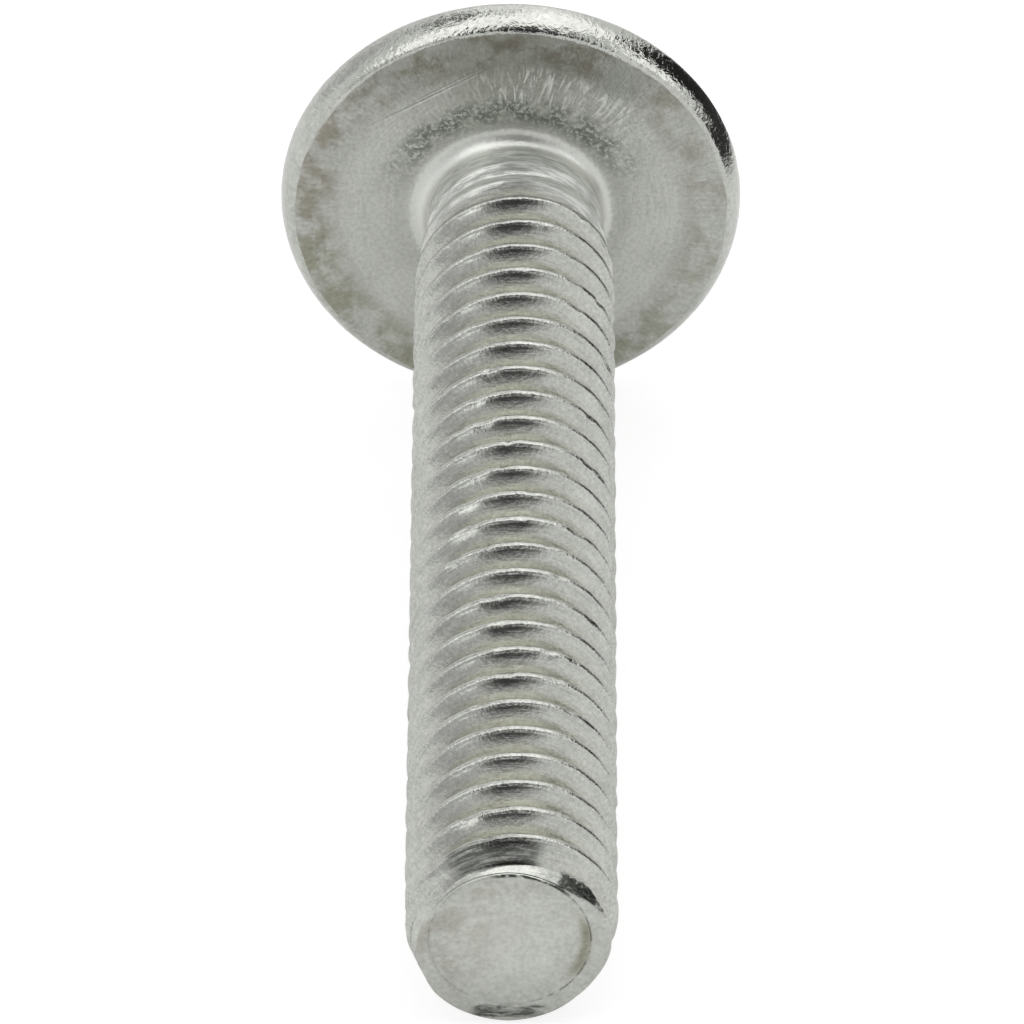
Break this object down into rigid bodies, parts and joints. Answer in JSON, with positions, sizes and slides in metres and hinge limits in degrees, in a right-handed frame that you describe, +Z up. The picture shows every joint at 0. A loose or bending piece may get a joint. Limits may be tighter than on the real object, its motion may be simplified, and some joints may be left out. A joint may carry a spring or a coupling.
{
  "type": "truss head screw",
  "caption": "Cross-recessed machine screw with a wide low domed head, a flat bearing face and a fully threaded shank, lying on its side.",
  "frame": {"origin": "on the floor under the centre of the screw's bounding box, as it lies", "axes": "+Z up, -Y the way the tip points along the floor, +X to the right as the tip is looked at from in front"},
  "size_m": [0.0142, 0.04, 0.0141],
  "materials": {
    "steel": "bright rolled steel, lightly brushed round the axis"
  },
  "bodies": {
    "root": {"truss_head_screw": "steel"}
  },
  "joints": []
}
